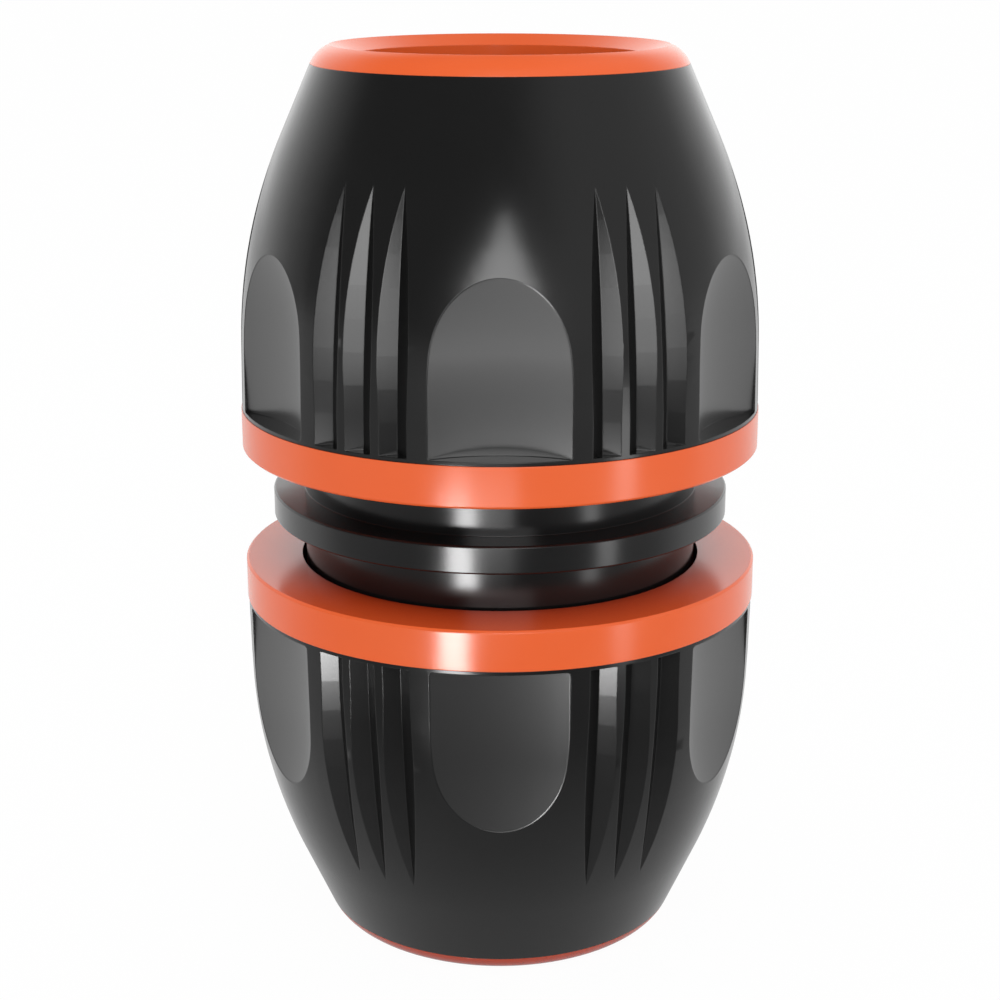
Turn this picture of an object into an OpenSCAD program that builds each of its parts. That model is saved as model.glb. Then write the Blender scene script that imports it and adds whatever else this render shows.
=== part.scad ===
/* [Centre body] */
// Diameter of the flange between the two nuts
flange_d = 35.4; // [34:0.1:37]
// Thickness of the flange
flange_t = 2.1; // [1.6:0.1:3]
// Diameter of the plain neck on each side of the flange
neck_d = 30.6; // [30.2:0.1:31]
// Length of the neck, from the flange to the threaded spigot
neck_l = 4.1; // [3.7:0.1:4.4]
// Diameter of the spigot at the root of its thread
spigot_d = 28.6; // [27.8:0.1:29.2]
// Length of the threaded spigot
spigot_l = 8.8; // [7:0.1:9]
// Diameter of the hose socket inside the spigot
socket_d = 22.8; // [22.4:0.1:24]
// Thickness of the web between the two hose sockets
web_t = 9; // [6:0.5:12]

/* [Hose stem] */
// Diameter over the barbs, for a hose of about 16 mm inside
stem_d = 16.4; // [15.6:0.1:17]
// Height of each barb
barb_h = 0.7; // [0.4:0.1:1]
// Length of each barb
barb_l = 4; // [3:0.1:4.2]
// Number of barbs on each stem
barb_count = 4; // [2:1:4]
// Length of the plain seat at the root of the stem
seat_l = 4.5; // [3:0.1:5]
// Length of the rounded lead at the tip of the stem
tip_l = 2.4; // [1.5:0.1:2.8]
// Diameter of the waterway
bore_d = 11.2; // [8:0.1:12]

/* [Nut] */
// Outer diameter of the orange ring
ring_d = 40; // [39.6:0.1:44]
// Height of the orange ring
ring_h = 3.04; // [2.4:0.02:4]
// Gap between the flange and the ring, with the nut backed off as shown
nut_gap = 3.4; // [3.35:0.05:4.5]
// Edge chamfer of the ring
ring_chamfer = 0.16; // [0.1:0.02:0.4]
// Radial clearance of the ring over the neck
neck_clear = 0.33; // [0.3:0.01:0.45]
// Length of the plain hole through the ring
ring_bore_l = 4.05; // [3.9:0.05:4.2]
// Radial height of the internal thread, which the nut leaves clear of the spigot
thread_h = 0.65; // [0.5:0.05:0.7]
// Length of the threaded bore
thread_bore_l = 8.8; // [8.6:0.1:9.4]
// Diameter of the mouth that the hose goes through
mouth_d = 22.2; // [21.8:0.1:22.6]
// Length of the straight mouth behind the lip
mouth_l = 2.8; // [2:0.1:4]
// Radius of the lip's rounded outside
lip_r = 2.56; // [2.2:0.02:3]
// Diameter of the lip's crest
crest_d = 25.34; // [24.8:0.02:25.8]
// Depth of the funnel from the crest to the mouth
funnel_l = 0.8; // [0.5:0.05:1.2]

/* [Barrel] */
// Length of the grip sleeve
sleeve_l = 25.8; // [25:0.1:28]
// Step from the ring down to the sleeve
sleeve_step = 0.06; // [0.04:0.01:0.2]
// Diameter of the sleeve where it meets the lip
sleeve_end_d = 28.24; // [28:0.02:28.8]
// Draft of the straight flank, in degrees
flank_draft = 1; // [0.5:0.1:1.4]
// Half angle of the taper towards the lip, in degrees
taper_angle = 24; // [23.4:0.1:25]
// Radius of the crown between flank and taper
crown_r = 40; // [30:1:42]
// Wall of the sleeve at the ring
sleeve_t = 2.7; // [2.6:0.05:2.8]
// Wall of the sleeve at the lip
sleeve_end_t = 1.8; // [1.6:0.1:1.9]

/* [Grip] */
// Number of thumb recesses round the sleeve
recess_count = 6; // [4:1:6]
// Width of a thumb recess
recess_w = 10.04; // [8:0.02:10.4]
// Height of a thumb recess, from its ledge to the top of its arch
recess_l = 12.6; // [11:0.1:14]
// Depth of a thumb recess at its ledge
recess_depth = 1.94; // [1.6:0.02:1.96]
// Length of the straight stretch of its floor
recess_flat_l = 7.3; // [6:0.1:8]
// Corner radius at the ledge
recess_corner_r = 0.3; // [0.2:0.05:0.6]
// Grooves in each group between two recesses
groove_count = 3; // [1:1:3]
// Spacing of the grooves, in degrees
groove_pitch = 8.1; // [7.8:0.1:8.2]
// Depth of a groove at its ledge
groove_depth = 0.85; // [0.6:0.05:0.9]
// Half angle of the groove's V, in degrees
groove_angle = 53; // [45:1:54]
// Length of a groove, from its ledge to its point
groove_l = 18.4; // [17:0.1:19.5]
// Height of the plain collar between the ring and the ledges
collar_h = 0.3; // [0.2:0.05:0.6]

/* [Claw ring] */
// Number of claws
claw_count = 8; // [6:1:10]
// Width of the slots between the claws
slot_w = 1.3; // [1:0.1:1.8]
// Length of the claws
claw_l = 6.95; // [6:0.05:7]
// Inner diameter of the claw ring
claw_d = 22.4; // [22.2:0.1:22.8]
// Height of the gripping teeth inside the claws
tooth_h = 0.6; // [0.4:0.1:0.8]
// Rows of teeth
tooth_rows = 3; // [2:1:3]
// Thickness of the rim that turns in the nut
rim_t = 2.2; // [1.8:0.1:2.6]
// Diameter of the rim
rim_d = 28; // [27.8:0.1:28.2]
// Length of the skirt below the rim
skirt_l = 0.9; // [0.85:0.05:1.1]
// Running clearance of the rim in the nut, each way
rim_clear = 0.08; // [0.05:0.01:0.1]
// Clearance of the claws from the nut's cone, and of the skirt from its bead
claw_clear = 0.3; // [0.25:0.05:0.4]

/* [Hidden] */
$fn = 96;

// Heights on a nut are counted from the ring's face that looks at the flange
nut_z = flange_t / 2 + nut_gap;
sleeve_top = ring_h + sleeve_l;
ledge_z = ring_h + collar_h;

flank_r = ring_d / 2 - sleeve_step;
sleeve_end_r = sleeve_end_d / 2;
mouth_r = mouth_d / 2;
thread_bore_r = spigot_d / 2 + thread_h;
neck_hole_r = neck_d / 2 + neck_clear;

// The lip's outer arc leaves the taper at a tangent and ends at the crest, where the funnel starts
lip_centre = [sleeve_end_r - lip_r * cos(taper_angle), sleeve_top - lip_r * sin(taper_angle)];
crest_angle = acos((crest_d / 2 - lip_centre[0]) / lip_r);
crest = lip_centre + lip_r * [cos(crest_angle), sin(crest_angle)];
crest_z = crest[1];

// Where the claw ring sits in the nut, from its bead to its cone
bead_z = ring_bore_l + thread_bore_l;
skirt_r = rim_d / 2 - claw_clear - claw_clear;
bead_r = skirt_r + claw_clear;
rim_z = bead_z + skirt_l;
rim_seat_r = rim_d / 2 + rim_clear;
cone_z = rim_z + rim_t + rim_clear;
mouth_z = crest_z - funnel_l - mouth_l;
cone_slope = (rim_seat_r - mouth_r) / (mouth_z - cone_z);
claw_tip_z = rim_z + rim_t + claw_l;
claw_r = claw_d / 2;

// Corner of the flank and the taper, and the points where the crown arc leaves them
flank_slope = tan(flank_draft);
taper_slope = tan(taper_angle);
corner_z = (flank_r - sleeve_end_r + flank_slope * ring_h - taper_slope * sleeve_top)
    / (flank_slope - taper_slope);
corner = [flank_r - flank_slope * (corner_z - ring_h), corner_z];
flank_dir = [-sin(flank_draft), cos(flank_draft)];
flank_in = [-cos(flank_draft), -sin(flank_draft)];
taper_dir = [-sin(taper_angle), cos(taper_angle)];
taper_out = [cos(taper_angle), sin(taper_angle)];
crown_tangent = crown_r * tan((taper_angle - flank_draft) / 2);
crown_start = corner - crown_tangent * flank_dir;
crown_end = corner + crown_tangent * taper_dir;
crown_centre = crown_start + crown_r * flank_in;

// The sleeve's inner corner, where its two straight walls meet
inner_corner_z = (flank_r - sleeve_t - (sleeve_end_r - sleeve_end_t)
    + flank_slope * ring_h - taper_slope * sleeve_top) / (flank_slope - taper_slope);
inner_corner = [flank_r - sleeve_t - flank_slope * (inner_corner_z - ring_h), inner_corner_z];

// The hollow of a thumb recess meets the start of the crown this far outside the recess's sides
recess_side = 0.01;

// Straight flats along the bent valley of a groove
groove_steps = 8;

// A cutter runs this far past the surface that it cuts
over = 4;

// Radius of the barrel at height z, on its flank, crown or taper
function barrel_r(z) =
    z < crown_start[1] ? flank_r - flank_slope * (z - ring_h)
    : z > crown_end[1] ? sleeve_end_r + taper_slope * (sleeve_top - z)
    : crown_centre[0] + sqrt(crown_r * crown_r - pow(z - crown_centre[1], 2));

// Mirrored copy of a half outline, in reverse order, below the middle
function below(points) = [for (i = [len(points) - 1 : -1 : 0]) [points[i][0], -points[i][1]]];

// Half outline of the stem, from its root in the socket to its tip and into the waterway
stem_r = stem_d / 2;
stem_core_r = stem_r - barb_h;
barb_z = web_t / 2 + seat_l;
stem_tip_z = barb_z + barb_count * barb_l + tip_l;
function barb(i) = [[stem_core_r, barb_z + i * barb_l], [stem_core_r, barb_z + (i + 0.4) * barb_l],
    [stem_r, barb_z + (i + 0.4) * barb_l + barb_h / 3]];
function stem_outline() = concat(
    [[stem_r, web_t / 2], [stem_r, barb_z]],
    [for (i = [0 : barb_count - 1]) each barb(i)],
    [[stem_core_r, barb_z + barb_count * barb_l], [stem_core_r, stem_tip_z - tip_l / 2],
    [stem_core_r - barb_h, stem_tip_z], [bore_d / 2 + barb_h / 2, stem_tip_z],
    [bore_d / 2, stem_tip_z - barb_h / 2]]);

// Half outline of the body, from the flange's rim over the spigot to the waterway
spigot_z = flange_t / 2 + neck_l;
spigot_end_z = spigot_z + spigot_l;
spigot_chamfer = 0.5;
flange_chamfer = 0.12;
function body_outline() = concat(
    [[flange_d / 2, flange_t / 2 - flange_chamfer], [flange_d / 2 - flange_chamfer, flange_t / 2],
    [neck_d / 2, flange_t / 2], [neck_d / 2, spigot_z - spigot_chamfer],
    [neck_d / 2 - spigot_chamfer, spigot_z], [spigot_d / 2, spigot_z],
    [spigot_d / 2, spigot_end_z - spigot_chamfer], [spigot_d / 2 - spigot_chamfer, spigot_end_z],
    [socket_d / 2 + spigot_chamfer, spigot_end_z], [socket_d / 2, spigot_end_z - spigot_chamfer],
    [socket_d / 2, web_t / 2]],
    stem_outline());

// One moulding: flange, necks, threaded spigots, hose sockets and barbed stems
module centre_body() {
    color([0.13, 0.13, 0.13])
    rotate_extrude()
    polygon(concat(body_outline(), below(body_outline())));
}

// Filled outline of the barrel between the ring and the lip, crown arc included
module barrel_outline() {
    polygon([[0, ring_h], [flank_r, ring_h], crown_start, crown_end, [sleeve_end_r, sleeve_top], [0, sleeve_top]]);
    intersection() {
        translate(crown_centre)
        circle(crown_r, $fn = 360);
        polygon([crown_start, crown_start + over * taper_out, crown_end + over * taper_out, crown_end]);
    }
}

// Outline of the nut's moulding that the sleeve is moulded over
module core_outline() {
    polygon([[0, ring_h], [flank_r - sleeve_t, ring_h], inner_corner,
        [sleeve_end_r - sleeve_end_t, sleeve_top], [0, sleeve_top]]);
}

// Filled outline of the lip, rounded outside and with the funnel inside
module lip_outline() {
    polygon([[0, sleeve_top], [sleeve_end_r, sleeve_top], crest, [mouth_r, crest_z - funnel_l],
        [0, crest_z - funnel_l]]);
    intersection() {
        translate(lip_centre)
        circle(lip_r);
        polygon([[sleeve_end_r, sleeve_top], [sleeve_end_r, sleeve_top] + over * taper_out,
            crest + over * [cos(crest_angle), sin(crest_angle)], crest]);
    }
}

// Everything inside the nut that is open: neck hole, thread, claw seat, cone and mouth
module nut_bore_outline() {
    bead_chamfer = claw_clear;
    polygon([[0, -over], [neck_hole_r, -over], [neck_hole_r, ring_bore_l],
        [thread_bore_r, ring_bore_l], [thread_bore_r, bead_z], [bead_r + bead_chamfer, bead_z],
        [bead_r, bead_z + bead_chamfer], [bead_r, rim_z - rim_clear], [rim_seat_r, rim_z - rim_clear],
        [rim_seat_r, cone_z], [mouth_r, mouth_z], [mouth_r, crest_z + over], [0, crest_z + over]]);
}

module nut() {
    color([0.93, 0.38, 0.2])
    rotate_extrude()
    difference() {
        union() {
            polygon([[0, 0], [ring_d / 2 - ring_chamfer, 0], [ring_d / 2, ring_chamfer],
                [ring_d / 2, ring_h], [0, ring_h]]);
            core_outline();
            lip_outline();
        }
        nut_bore_outline();
    }
}

// Cutter for one thumb recess: a drum that stands outside the barrel, cut to the recess's width. Its
// flank bends away above the straight floor, so that floor and barrel meet in an arch
module recess_cutter() {
    floor_r = barrel_r(ledge_z) - recess_depth;
    meet_w = recess_w / 2 + recess_side;
    hollow = sqrt(pow(crown_start[0], 2) - meet_w * meet_w) - floor_r;
    recess_r = (meet_w * meet_w + hollow * hollow) / (2 * hollow);
    rise = barrel_r(ledge_z + recess_l) - floor_r;
    bend_l = recess_l - recess_flat_l;
    bend_z = ledge_z + recess_flat_l;
    bend_r = (bend_l * bend_l + rise * rise) / (2 * rise);
    cut_l = recess_l + over / 2;
    intersection() {
        translate([floor_r + recess_r, 0, 0])
        rotate_extrude()
        union() {
            translate([0, ledge_z])
            square([recess_r, recess_flat_l]);
            intersection() {
                translate([recess_r - bend_r, bend_z])
                circle(bend_r, $fn = 360);
                translate([0, bend_z])
                square([recess_r, cut_l - recess_flat_l]);
            }
        }
        translate([floor_r - over / 4, 0, ledge_z])
        rotate([90, 0, 90])
        linear_extrude(over)
        union() {
            translate([-recess_w / 2, recess_corner_r])
            square([recess_w, cut_l]);
            translate([recess_corner_r - recess_w / 2, 0])
            square([recess_w - 2 * recess_corner_r, cut_l]);
            for (side = [-1, 1])
                translate([side * (recess_w / 2 - recess_corner_r), recess_corner_r])
                circle(recess_corner_r, $fn = 32);
        }
    }
}

// Cutter for one groove: V wedges set round a large arc, so the valley bends in with the barrel
module groove_cutter() {
    start_r = barrel_r(ledge_z) - groove_depth;
    drop = start_r - barrel_r(ledge_z + groove_l);
    valley_r = (groove_l * groove_l + drop * drop) / (2 * drop);
    step = asin(groove_l / valley_r) / groove_steps;
    intersection() {
        translate([start_r - valley_r, 0, ledge_z])
        for (k = [0 : groove_steps - 1])
            rotate([0, -(k + 0.5) * step, 0])
            translate([valley_r, 0, -groove_l])
            linear_extrude(2 * groove_l)
            polygon([[0, 0], [over, -over * tan(groove_angle)], [over, over * tan(groove_angle)]]);
        translate([start_r - drop - over, -recess_w, ledge_z])
        cube([2 * over + drop + groove_depth, 2 * recess_w, groove_l + over]);
    }
}

// Soft sleeve moulded over the nut, with its recesses facing front
module grip() {
    sector = 360 / recess_count;
    color([0.16, 0.16, 0.16])
    difference() {
        rotate_extrude()
        difference() {
            barrel_outline();
            core_outline();
        }
        for (i = [0 : recess_count - 1]) {
            rotate([0, 0, -90 + i * sector])
            recess_cutter();
            for (j = [0 : groove_count - 1])
                rotate([0, 0, -90 + (i + 0.5) * sector + (j - (groove_count - 1) / 2) * groove_pitch])
                groove_cutter();
        }
    }
}

// Half section of the claw ring: skirt, rim, claws and gripping teeth
module claw_outline() {
    tip_r = rim_seat_r - cone_slope * (claw_tip_z - cone_z) - claw_clear;
    tooth_l = claw_l / tooth_rows;
    tooth_z = rim_z + rim_t;
    polygon(concat(
        [[claw_r, bead_z], [skirt_r, bead_z], [skirt_r, rim_z], [rim_d / 2, rim_z],
        [rim_d / 2, tooth_z], [rim_seat_r - claw_clear, tooth_z], [tip_r, claw_tip_z]],
        [for (i = [tooth_rows - 1 : -1 : 0]) each [[claw_r, tooth_z + (i + 1) * tooth_l],
            [claw_r - tooth_h, tooth_z + i * tooth_l + tooth_h / 2]]],
        [[claw_r, tooth_z]]));
}

module claws() {
    color([0.82, 0.82, 0.8])
    difference() {
        rotate_extrude()
        claw_outline();
        for (i = [0 : claw_count - 1])
            rotate([0, 0, i * 360 / claw_count])
            translate([0, -slot_w / 2, rim_z + rim_t])
            cube([rim_d, slot_w, claw_l + over]);
    }
}

// Stands a nut's piece on its own side of the flange
module upper() {
    translate([0, 0, nut_z])
    children();
}

module lower() {
    mirror([0, 0, 1])
    upper()
    children();
}

module upper_nut() { upper() nut(); }
module upper_grip() { upper() grip(); }
module upper_claws() { upper() claws(); }
module lower_nut() { lower() nut(); }
module lower_grip() { lower() grip(); }
module lower_claws() { lower() claws(); }

centre_body();
upper_nut();
upper_grip();
upper_claws();
lower_nut();
lower_grip();
lower_claws();
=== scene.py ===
import math

import bpy
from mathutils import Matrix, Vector


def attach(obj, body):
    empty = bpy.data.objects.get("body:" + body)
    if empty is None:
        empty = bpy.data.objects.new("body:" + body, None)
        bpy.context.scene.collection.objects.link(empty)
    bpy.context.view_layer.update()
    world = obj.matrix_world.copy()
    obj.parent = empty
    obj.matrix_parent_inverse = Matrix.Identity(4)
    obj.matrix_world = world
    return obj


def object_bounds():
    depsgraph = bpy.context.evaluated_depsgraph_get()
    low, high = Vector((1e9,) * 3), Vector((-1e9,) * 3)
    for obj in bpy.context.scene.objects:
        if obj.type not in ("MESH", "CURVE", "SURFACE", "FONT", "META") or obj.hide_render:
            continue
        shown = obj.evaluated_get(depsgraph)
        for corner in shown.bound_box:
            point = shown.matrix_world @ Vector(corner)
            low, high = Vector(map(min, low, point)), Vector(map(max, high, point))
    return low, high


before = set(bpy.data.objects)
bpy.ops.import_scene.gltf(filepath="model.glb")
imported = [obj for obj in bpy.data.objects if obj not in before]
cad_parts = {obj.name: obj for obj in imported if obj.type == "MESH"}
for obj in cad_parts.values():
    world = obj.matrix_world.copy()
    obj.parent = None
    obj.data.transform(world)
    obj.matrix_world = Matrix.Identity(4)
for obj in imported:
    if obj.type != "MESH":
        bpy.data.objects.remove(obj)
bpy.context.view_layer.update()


# Centre body. One black moulding: the flange between the nuts, a neck and a threaded spigot on each
# side, and a barbed hose stem inside each spigot. It is acetal, which slides well against the nuts'
# threads and comes out of the mould with a smooth, waxy gloss.

def linear(hex_colour):
    """Linear RGBA of an sRGB hex colour."""
    parts = [int(hex_colour[i : i + 2], 16) / 255 for i in (1, 3, 5)]
    return [c / 12.92 if c <= 0.04045 else ((c + 0.055) / 1.055) ** 2.4 for c in parts] + [1]


def add(tree, kind, sockets=None, **settings):
    """Adds a node with its settings, and sets or links its input sockets."""
    new = tree.nodes.new(kind)
    for name, value in settings.items():
        setattr(new, name, value)
    for socket, value in (sockets or {}).items():
        if isinstance(value, bpy.types.NodeSocket):
            tree.links.new(value, new.inputs[socket])
        else:
            new.inputs[socket].default_value = value
    return new


def new_material(name):
    """An empty node material, with its tree and its output node."""
    material = bpy.data.materials.new(name)
    material.use_nodes = True
    tree = material.node_tree
    tree.nodes.clear()
    return material, tree, add(tree, "ShaderNodeOutputMaterial")


def moulded(name, colour, flow_colour, roughness, roughness_swing, grain_mm, grain_depth_mm):
    """Moulded plastic: faint flow marks in its colour and its sheen, the fine grain of the mould's
    surface, and rounded edges, which catch the light as thin lines."""
    flow_mm, edge_mm = 9, 0.1
    material, tree, output = new_material(name)
    place = add(tree, "ShaderNodeTexCoord").outputs["Object"]
    flow = add(tree, "ShaderNodeTexNoise", {
        "Vector": place, "Scale": 1000 / flow_mm, "Detail": 2.0, "Distortion": 0.8})
    tint = add(tree, "ShaderNodeMixRGB", {
        "Fac": flow.outputs["Fac"], "Color1": linear(colour), "Color2": linear(flow_colour)})
    sheen = add(tree, "ShaderNodeMapRange", {
        "Value": flow.outputs["Fac"], "From Min": 0.3, "From Max": 0.7,
        "To Min": roughness - roughness_swing, "To Max": roughness + roughness_swing})
    grain = add(tree, "ShaderNodeTexNoise", {
        "Vector": place, "Scale": 1000 / grain_mm, "Detail": 3.0})
    edge = add(tree, "ShaderNodeBevel", {"Radius": edge_mm / 1000}, samples=6)
    relief = add(tree, "ShaderNodeBump", {
        "Height": grain.outputs["Fac"], "Distance": grain_depth_mm / 1000, "Strength": 1.0,
        "Normal": edge.outputs["Normal"]})
    shader = add(tree, "ShaderNodeBsdfPrincipled", {
        "Base Color": tint.outputs["Color"], "Roughness": sheen.outputs["Result"],
        "Normal": relief.outputs["Normal"], "IOR": 1.48})
    tree.links.new(shader.outputs["BSDF"], output.inputs["Surface"])
    return material, tree, shader


# Black acetal from a polished mould: deep black, with gloss whose highlights have soft ends
black_acetal, _, _ = moulded(
    "black_acetal_moulded", "#101010", "#131314",
    roughness=0.22, roughness_swing=0.03, grain_mm=0.5, grain_depth_mm=0.0012)
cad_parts["centre_body"].material_slots[0].material = black_acetal

# The screw thread, one ridge on the spigot and one in the nut, both right-hand with a 4 mm lead
THREAD_LEAD = 0.004
THREAD_PHASE = 0.4
TURN_STEPS = 72
RIDGE_H = 0.00055
RIDGE_FOOT_W, RIDGE_CREST_W = 0.0016, 0.0006
# The foot of a ridge lies this far inside the wall that carries it
RIDGE_SINK = 0.00003
RIDGE_EDGE_R = 0.00012


def thread_ridge(name, root_r, height, z_start, z_end, phase, flip, material, body):
    """One right-hand helical ridge, which rises from its wall and runs out at both ends. A negative
    height points inwards. flip turns it half round the X axis, which keeps it right-handed."""
    steps = int((z_end - z_start - RIDGE_FOOT_W) / THREAD_LEAD * TURN_STEPS)
    run_out_steps = TURN_STEPS // 8
    sunk_r = root_r - math.copysign(RIDGE_SINK, height)
    points, faces = [], []
    for i in range(steps + 1):
        angle = phase + 2 * math.pi * i / TURN_STEPS
        middle_z = z_start + RIDGE_FOOT_W / 2 + THREAD_LEAD * i / TURN_STEPS
        share = min(1.0, i / run_out_steps, (steps - i) / run_out_steps)
        crest_r = root_r + height * math.sin(share * math.pi / 2)
        for offset_z, r in (
                (-RIDGE_FOOT_W / 2, sunk_r), (-RIDGE_FOOT_W / 2, root_r),
                (-RIDGE_CREST_W / 2, crest_r), (RIDGE_CREST_W / 2, crest_r),
                (RIDGE_FOOT_W / 2, root_r), (RIDGE_FOOT_W / 2, sunk_r)):
            x, y, z = r * math.cos(angle), r * math.sin(angle), middle_z + offset_z
            points.append((x, -y, -z) if flip else (x, y, z))
    for i in range(steps):
        for k in range(6):
            a, b = 6 * i + k, 6 * i + (k + 1) % 6
            faces.append((a, b, b + 6, a + 6))
    faces.append(tuple(range(5, -1, -1)))
    faces.append(tuple(range(6 * steps, 6 * steps + 6)))
    mesh = bpy.data.meshes.new(name)
    mesh.from_pydata(points, [], faces)
    mesh.validate()
    if height < 0:
        mesh.flip_normals()
    for face in mesh.polygons:
        face.use_smooth = True
    mesh.materials.append(material)
    ridge = bpy.data.objects.new(name, mesh)
    bpy.context.collection.objects.link(ridge)
    edge = ridge.modifiers.new("rounded_edges", "BEVEL")
    edge.width = RIDGE_EDGE_R
    edge.segments = 2
    edge.limit_method = "ANGLE"
    edge.angle_limit = math.radians(25)
    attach(ridge, body)


SPIGOT_R = 0.0143
SPIGOT_THREAD_START, SPIGOT_THREAD_END = 0.00585, 0.01335

for side, flip in (("upper", False), ("lower", True)):
    thread_ridge(
        f"{side}_spigot_thread", SPIGOT_R, RIDGE_H, SPIGOT_THREAD_START, SPIGOT_THREAD_END,
        THREAD_PHASE, flip, black_acetal, "body")


# Claw rings. Each nut holds a loose ring with eight toothed spring claws, which its cone closes on
# the hose. They are moulded in one piece from natural acetal, for its spring.

# Natural acetal, moulded: milky white, and the light that sinks in softens its shading
milky_acetal, _, claw_shader = moulded(
    "milky_acetal_moulded", "#d6d5ce", "#deddd7",
    roughness=0.38, roughness_swing=0.04, grain_mm=0.6, grain_depth_mm=0.0015)
claw_shader.inputs["Subsurface Weight"].default_value = 0.15
claw_shader.inputs["Subsurface Radius"].default_value = (0.0012, 0.0011, 0.0009)
claw_shader.inputs["Subsurface Scale"].default_value = 1.0
for side in ("upper", "lower"):
    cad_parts[f"{side}_claws"].material_slots[0].material = milky_acetal


# Nuts. The wide ring, the rounded lip and the hidden core of each nut are one orange moulding, with
# the thread inside. It is ABS, which takes a gloss from a polished mould and keeps its colour.

# Orange ABS, moulded: clear, even colour under a sharp gloss
orange_abs, tree, orange_shader = moulded(
    "orange_abs_moulded", "#ea602c", "#ec6630",
    roughness=0.21, roughness_swing=0.03, grain_mm=0.5, grain_depth_mm=0.001)

# Painted shade: the orange's base colour is darkened to a deeper orange where walls hem it in, in the
# mouth and near the flange
PAINTED_SHADE_REACH = 0.012
openness = add(tree, "ShaderNodeAmbientOcclusion", {"Distance": PAINTED_SHADE_REACH}, samples=8)
painted_nook_shade = add(tree, "ShaderNodeMapRange", {
    "Value": openness.outputs["AO"], "From Min": 0.2, "From Max": 0.85, "To Min": 1.0, "To Max": 0.0})
# The painted shade is mixed into the orange's base colour
orange_with_painted_shade = add(tree, "ShaderNodeMixRGB", {
    "Fac": painted_nook_shade.outputs["Result"], "Color1": orange_shader.inputs["Base Color"].links[0].from_socket,
    "Color2": linear("#b4300c")})
tree.links.new(orange_with_painted_shade.outputs["Color"], orange_shader.inputs["Base Color"])

NUT_BORE_R = 0.01495
# Half a lead away from the spigot's ridge, so that each ridge runs in the other's groove
NUT_THREAD_START, NUT_THREAD_END = SPIGOT_THREAD_START + THREAD_LEAD, 0.0167
NUT_THREAD_PHASE = THREAD_PHASE + math.pi

for side, flip in (("upper", False), ("lower", True)):
    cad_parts[f"{side}_nut"].material_slots[0].material = orange_abs
    thread_ridge(
        f"{side}_nut_thread", NUT_BORE_R, -RIDGE_H, NUT_THREAD_START, NUT_THREAD_END,
        NUT_THREAD_PHASE, flip, orange_abs, f"{side}_cap")


# Grip sleeves. A soft black sleeve is moulded over each nut between its ring and its lip, with six
# thumb recesses and six groups of three tapered grooves to hold it by.

# Black overmould: satin from a finely polished mould, with duller floors in the thumb recesses
black_overmould, tree, grip_shader = moulded(
    "black_overmould_satin", "#121212", "#161616",
    roughness=0.21, roughness_swing=0.02, grain_mm=0.35, grain_depth_mm=0.0012)

# The barrel's outline, as in the part: a straight flank and a straight taper, which meet in a corner
# that the crown's arc rounds off
FOOT_Z, FLANK_R, FLANK_DRAFT = 0.00749, 0.01994, math.radians(1)
END_Z, END_R, TAPER_ANGLE = 0.03329, 0.01412, math.radians(24)
CROWN_R = 0.04
LEDGE_Z = 0.00779
flank_slope, taper_slope = math.tan(FLANK_DRAFT), math.tan(TAPER_ANGLE)
corner_z = (FLANK_R - END_R + flank_slope * FOOT_Z - taper_slope * END_Z) / (flank_slope - taper_slope)
corner_r = FLANK_R - flank_slope * (corner_z - FOOT_Z)
crown_tangent = CROWN_R * math.tan((TAPER_ANGLE - FLANK_DRAFT) / 2)
crown_start = CROWN_R * math.sin(FLANK_DRAFT)
crown_centre_r = corner_r + crown_tangent * math.sin(FLANK_DRAFT) - CROWN_R * math.cos(FLANK_DRAFT)
crown_centre_z = corner_z - crown_tangent * math.cos(FLANK_DRAFT) - crown_start

# How far a point lies inside the barrel's outline, with the distance to the crown's centre added
place = add(tree, "ShaderNodeTexCoord").outputs["Object"]
axes = add(tree, "ShaderNodeSeparateXYZ", {"Vector": place})
flat = add(tree, "ShaderNodeVectorMath", {0: place, 1: (1, 1, 0)}, operation="MULTIPLY")
radius = add(tree, "ShaderNodeVectorMath", {0: flat.outputs["Vector"]}, operation="LENGTH")
height = add(tree, "ShaderNodeMath", {0: axes.outputs["Z"]}, operation="ABSOLUTE")
rise = add(tree, "ShaderNodeMath", {0: height.outputs["Value"], 1: crown_centre_z}, operation="SUBTRACT")
rise = add(tree, "ShaderNodeMath", {0: rise.outputs["Value"], 1: crown_start}, operation="MAXIMUM")
drop = add(tree, "ShaderNodeMath", {
    0: rise.outputs["Value"], 1: rise.outputs["Value"], 2: -CROWN_R ** 2}, operation="MULTIPLY_ADD")
reach = add(tree, "ShaderNodeMath", {0: drop.outputs["Value"], 1: -1.0}, operation="MULTIPLY")
reach = add(tree, "ShaderNodeMath", {0: reach.outputs["Value"], 1: 0.5}, operation="POWER")
depth = add(tree, "ShaderNodeMath", {
    0: reach.outputs["Value"], 1: radius.outputs["Value"]}, operation="SUBTRACT")

# The floors lie at least this deep, within a sector about each recess and above its ledge
SHALLOW, SUNK = 0.00002, 0.00006
RECESS_COUNT = 6
RECESS_HALF_ANGLE = math.radians(15.6)
LEDGE_MARGIN = 0.00004
sunk = add(tree, "ShaderNodeMapRange", {
    "Value": depth.outputs["Value"],
    "From Min": SHALLOW - crown_centre_r, "From Max": SUNK - crown_centre_r})
turn = add(tree, "ShaderNodeMath", {
    0: axes.outputs["X"], 1: axes.outputs["Y"]}, operation="ARCTAN2")
sector = add(tree, "ShaderNodeMath", {
    0: turn.outputs["Value"], 1: math.pi / RECESS_COUNT}, operation="PINGPONG")
inside = add(tree, "ShaderNodeMath", {
    0: sector.outputs["Value"], 1: RECESS_HALF_ANGLE}, operation="LESS_THAN")
above = add(tree, "ShaderNodeMath", {
    0: height.outputs["Value"], 1: LEDGE_Z + LEDGE_MARGIN}, operation="GREATER_THAN")
inside = add(tree, "ShaderNodeMath", {
    0: inside.outputs["Value"], 1: above.outputs["Value"]}, operation="MULTIPLY")
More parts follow.
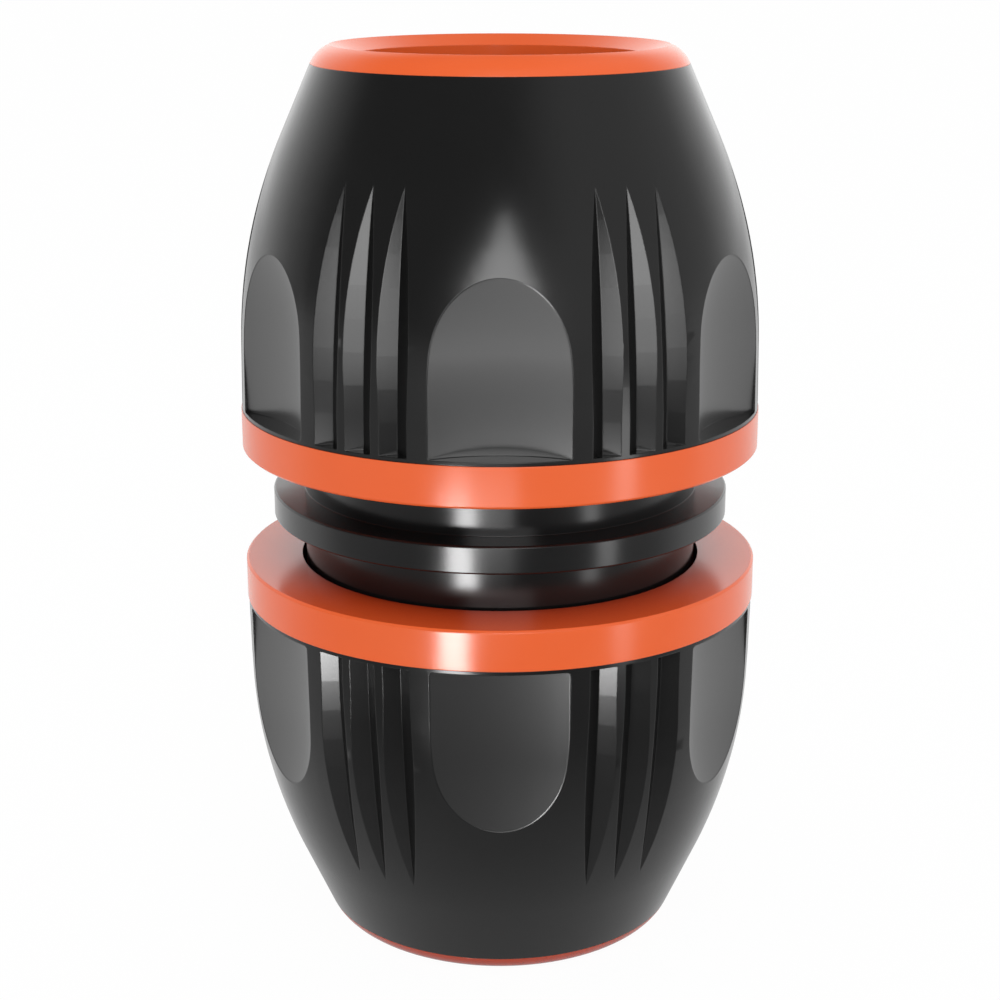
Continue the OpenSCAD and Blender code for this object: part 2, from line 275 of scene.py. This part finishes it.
floor_mask = add(tree, "ShaderNodeMath", {
    0: sunk.outputs["Result"], 1: inside.outputs["Value"]}, operation="MULTIPLY").outputs["Value"]

# The floors are a little greyer and duller than the barrel, and their sheen is stronger
dull_tint = add(tree, "ShaderNodeMixRGB", {
    "Fac": floor_mask, "Color1": grip_shader.inputs["Base Color"].links[0].from_socket,
    "Color2": linear("#181818")})
dull = add(tree, "ShaderNodeMix", {
    "Factor": floor_mask, 2: grip_shader.inputs["Roughness"].links[0].from_socket, 3: 0.25},
    data_type="FLOAT")
sheen = add(tree, "ShaderNodeMix", {"Factor": floor_mask, 2: 0.5, 3: 1.0}, data_type="FLOAT")
tree.links.new(dull_tint.outputs["Color"], grip_shader.inputs["Base Color"])
tree.links.new(dull.outputs[0], grip_shader.inputs["Roughness"])
tree.links.new(sheen.outputs[0], grip_shader.inputs["Specular IOR Level"])

# The middle of each floor is nearly flat, so its gloss is turned towards the recess's own direction
FLATNESS = 0.7
step = add(tree, "ShaderNodeMath", {
    0: turn.outputs["Value"], 1: RECESS_COUNT / (2 * math.pi)}, operation="MULTIPLY")
step = add(tree, "ShaderNodeMath", {0: step.outputs["Value"]}, operation="ROUND")
middle = add(tree, "ShaderNodeMath", {
    0: step.outputs["Value"], 1: 2 * math.pi / RECESS_COUNT}, operation="MULTIPLY").outputs["Value"]
facing = add(tree, "ShaderNodeCombineXYZ", {
    "X": add(tree, "ShaderNodeMath", {0: middle}, operation="SINE").outputs["Value"],
    "Y": add(tree, "ShaderNodeMath", {0: middle}, operation="COSINE").outputs["Value"]})
facing = add(tree, "ShaderNodeVectorTransform", {"Vector": facing.outputs["Vector"]},
             vector_type="NORMAL", convert_from="OBJECT", convert_to="WORLD")
relief = grip_shader.inputs["Normal"].links[0].from_node
flatness = add(tree, "ShaderNodeMath", {0: floor_mask, 1: FLATNESS}, operation="MULTIPLY")
flattened = add(tree, "ShaderNodeMix", {
    0: flatness.outputs["Value"], 4: relief.inputs["Normal"].links[0].from_socket,
    5: facing.outputs["Vector"]}, data_type="VECTOR")
flattened = add(tree, "ShaderNodeVectorMath", {0: flattened.outputs[1]}, operation="NORMALIZE")
tree.links.new(flattened.outputs["Vector"], relief.inputs["Normal"])
for side in ("upper", "lower"):
    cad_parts[f"{side}_grip"].material_slots[0].material = black_overmould


# Floor. The mender stands upright on the mouth of its lower nut, on a wide sheet of white paper with
# no edge in sight.

# White matt paper: it takes the mender's shadow, and its own glow keeps it white in the picture
white_paper, tree, output = new_material("white_paper_matt")
GLOW_SHARE = 0.97
FRONT_Y, BACK_Y = -0.05, 0.02
BESIDE_X, FAR_X = 0.05, 0.13
DIM_FRONT, DIM_SIDE = 0.15, 0.5
path = add(tree, "ShaderNodeLightPath")
seen = add(tree, "ShaderNodeMath", {
    0: path.outputs["Is Camera Ray"], 1: path.outputs["Is Glossy Ray"]}, operation="MAXIMUM")
share = add(tree, "ShaderNodeMath", {0: seen.outputs["Value"], 1: GLOW_SHARE}, operation="MULTIPLY")
paper = add(tree, "ShaderNodeBsdfDiffuse", {"Color": linear("#fafafa")})
# In the mender's gloss the paper's glow is painted: white behind the mender, and dim in front of it and
# beside it
ground = add(tree, "ShaderNodeSeparateXYZ", {
    "Vector": add(tree, "ShaderNodeTexCoord").outputs["Object"]})
behind = add(tree, "ShaderNodeMapRange", {
    "Value": ground.outputs["Y"], "From Min": FRONT_Y, "From Max": BACK_Y,
    "To Min": DIM_FRONT, "To Max": 1.0})
aside = add(tree, "ShaderNodeMath", {0: ground.outputs["X"]}, operation="ABSOLUTE")
aside = add(tree, "ShaderNodeMapRange", {
    "Value": aside.outputs["Value"], "From Min": BESIDE_X, "From Max": FAR_X,
    "To Min": DIM_FRONT, "To Max": DIM_SIDE})
bright = add(tree, "ShaderNodeMath", {
    0: behind.outputs["Result"], 1: aside.outputs["Result"]}, operation="MAXIMUM")
bright = add(tree, "ShaderNodeMath", {
    0: path.outputs["Is Camera Ray"], 1: bright.outputs["Value"]}, operation="MAXIMUM")
glow = add(tree, "ShaderNodeEmission", {"Color": (1, 1, 1, 1), "Strength": bright.outputs["Value"]})
both = add(tree, "ShaderNodeMixShader", {
    0: share.outputs["Value"], 1: paper.outputs["BSDF"], 2: glow.outputs["Emission"]})
tree.links.new(both.outputs["Shader"], output.inputs["Surface"])

FLOOR_R = 3.0
mender_foot_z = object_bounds()[0][2]
bpy.ops.mesh.primitive_circle_add(
    vertices=96, radius=FLOOR_R, fill_type="NGON", location=(0, 0, mender_foot_z))
floor = bpy.context.object
floor.name = "floor"
floor.data.materials.append(white_paper)


# Studio room. The camera sees white all round. Gloss sees a white backdrop behind the mender, a
# window to its right and a dark room in front, and matt surfaces get even light.

world = bpy.data.worlds.new("studio")
bpy.context.scene.world = world
world.use_nodes = True
tree = world.node_tree
tree.nodes.clear()
EVEN_LIGHT = 0.82
ROOM_DARK = 0.14
path = add(tree, "ShaderNodeLightPath")
seen = add(tree, "ShaderNodeMath", {
    0: path.outputs["Is Camera Ray"], 1: path.outputs["Is Transmission Ray"]}, operation="MAXIMUM")
direction = add(tree, "ShaderNodeSeparateXYZ", {
    "Vector": add(tree, "ShaderNodeTexCoord").outputs["Generated"]})
backdrop = add(tree, "ShaderNodeMapRange", {
    "Value": direction.outputs["Y"], "From Min": 0.0, "From Max": 0.9,
    "To Min": ROOM_DARK, "To Max": 1.5})
ceiling = add(tree, "ShaderNodeMapRange", {
    "Value": direction.outputs["Z"], "From Min": 0.5, "From Max": 0.85,
    "To Min": 1.0, "To Max": 0.15}, interpolation_type="SMOOTHSTEP")
window = add(tree, "ShaderNodeMapRange", {
    "Value": direction.outputs["X"], "From Min": 0.0, "From Max": 0.6,
    "To Min": ROOM_DARK, "To Max": 0.6}, interpolation_type="SMOOTHSTEP")
room = add(tree, "ShaderNodeMath", {
    0: backdrop.outputs["Result"], 1: ceiling.outputs["Result"]}, operation="MULTIPLY")
room = add(tree, "ShaderNodeMath", {
    0: room.outputs["Value"], 1: window.outputs["Result"]}, operation="MAXIMUM")
ambient = add(tree, "ShaderNodeMix", {
    "Factor": path.outputs["Is Glossy Ray"], 2: EVEN_LIGHT, 3: room.outputs["Value"]},
    data_type="FLOAT")
level = add(tree, "ShaderNodeMix", {
    "Factor": seen.outputs["Value"], 2: ambient.outputs[0], 3: 1.0}, data_type="FLOAT")
sky = add(tree, "ShaderNodeBackground", {"Color": (1, 1, 1, 1), "Strength": level.outputs[0]})
tree.links.new(sky.outputs["Background"], add(tree, "ShaderNodeOutputWorld").inputs["Surface"])
# Only rays that leave a surface find the world, so that gloss sees the room at its own level
world.cycles.sampling_method = "NONE"


# Lamps. One soft box overhead lights the mender. Cards and strips in front of it show only in its
# gloss, as the upright highlights on rings, flange and sleeves.

def soft_lamp(name, place, target, width, height, radiance, gloss=True, shading=True):
    """A rectangular lamp that faces a target. Its power is set so that its face is as bright as
    radiance times white. gloss and shading say whether it shows in highlights and lights surfaces."""
    lamp = bpy.data.lights.new(name, "AREA")
    lamp.shape = "RECTANGLE"
    lamp.size = width
    lamp.size_y = height
    lamp.energy = radiance * math.pi * width * height
    holder = bpy.data.objects.new(name, lamp)
    bpy.context.collection.objects.link(holder)
    holder.location = place
    away = holder.location - Vector(target)
    holder.rotation_euler = away.to_track_quat("Z", "Y").to_euler()
    holder.visible_camera = False
    holder.visible_glossy = gloss
    holder.visible_diffuse = shading


soft_lamp("top_softbox", (0.04, -0.30, 0.34), (0, 0, 0), 0.30, 0.30, 1.9, gloss=False)

# The card in front has a tall part above it, in steps that narrow and fade towards its top
CARD_Y = -0.066
CARD_Z, CARD_W, CARD_H = 0.0135, 0.040, 0.013
STEP_Z, STEP_H, STEP_X = 0.0225, 0.005, 0.0005
CARD_STEPS = ((0.036, 6.5), (0.033, 6.6), (0.026, 6.4), (0.018, 6.0), (0.011, 5.2), (0.006, 4.4))
soft_lamp("front_card", (0, CARD_Y, CARD_Z), (0, 0, CARD_Z), CARD_W, CARD_H, 4.2, shading=False)
for number, (width, radiance) in enumerate(CARD_STEPS):
    soft_lamp(
        f"front_card_{number}", (STEP_X * number, CARD_Y, STEP_Z + STEP_H * number),
        (STEP_X * number, 0, STEP_Z), width, STEP_H, radiance, shading=False)

# Low strips on both sides, each facing the front of the sleeves
LEFT_Y, LEFT_AIM_X, AIM_Y = -0.072, -0.003, -0.018
for name, x, z, width, height, radiance in (
        ("left_strip", -0.0225, -0.0245, 0.0145, 0.023, 24.0),
        ("left_strip_top", -0.008, -0.0125, 0.032, 0.009, 4.2)):
    soft_lamp(name, (x, LEFT_Y, z), (LEFT_AIM_X, AIM_Y, z), width, height, radiance, shading=False)
RIGHT_X, RIGHT_Y, RIGHT_AIM_X, RIGHT_W = 0.059, -0.053, 0.007, 0.012
for name, z, height, radiance in (
        ("right_strip", -0.010, 0.020, 4.0),
        ("right_strip_foot", -0.026, 0.012, 3.0)):
    soft_lamp(
        name, (RIGHT_X, RIGHT_Y, z), (RIGHT_AIM_X, AIM_Y, z), RIGHT_W, height, radiance,
        shading=False)


# Camera. It stands close in front of the mender and a little above it, and looks down at it by 16.2
# degrees. That shows the rings as narrow ellipses and opens the upper mouth a little.

CAMERA_TILT = 0.2827
camera_data = bpy.data.cameras.new("camera")
camera_data.lens = 73.25
camera_data.sensor_width = 36
camera_data.clip_start = 0.005
camera_data.clip_end = 20
camera = bpy.data.objects.new("camera", camera_data)
camera.location = (0, -0.15444, 0.04422)
camera.rotation_euler = (math.pi / 2 - CAMERA_TILT, 0, 0)
bpy.context.collection.objects.link(camera)
bpy.context.scene.camera = camera
bpy.context.scene.view_settings.view_transform = "Standard"
